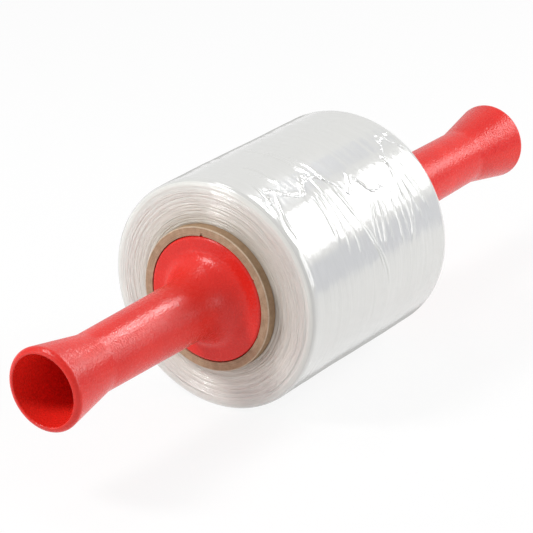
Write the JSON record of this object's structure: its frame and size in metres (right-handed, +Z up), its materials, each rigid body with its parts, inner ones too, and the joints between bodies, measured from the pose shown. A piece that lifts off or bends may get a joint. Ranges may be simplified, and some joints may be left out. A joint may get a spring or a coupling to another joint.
{
  "type": "stretch wrap roll",
  "caption": "Small roll of clear stretch film wound on a cardboard core, with a hollow flared hand grip turning freely in each end of the core.",
  "frame": {"origin": "middle of the whole length from mouth to mouth, on the surface that it rests on, straight below the roll's axis; the film's middle is 6.85 mm towards the left handle, because the right handle is drawn 13.7 mm out of the core", "axes": "+X along the roll's axis from the left handle to the right handle, +Z up, the film's loose end on the -Y side of the top"},
  "size_m": [0.4056, 0.1218, 0.121],
  "materials": {
    "film": "gloss",
    "cardboard": "matte",
    "handle_plastic": "satin"
  },
  "bodies": {
    "roll": {"film_roll": "film", "core": "cardboard"},
    "left_handle": {"handle_left": "handle_plastic"},
    "right_handle": {"handle_right": "handle_plastic"}
  },
  "joints": [
    {"name": "left_handle_turn", "type": "hinge", "parent": "roll", "child": "left_handle", "pos_m": [-0.07605, 0, 0.06022], "axis": [1, 0, 0], "continuous": true},
    {"name": "right_handle_turn", "type": "hinge", "parent": "roll", "child": "right_handle", "pos_m": [0.07605, 0, 0.06022], "axis": [1, 0, 0], "continuous": true}
  ]
}
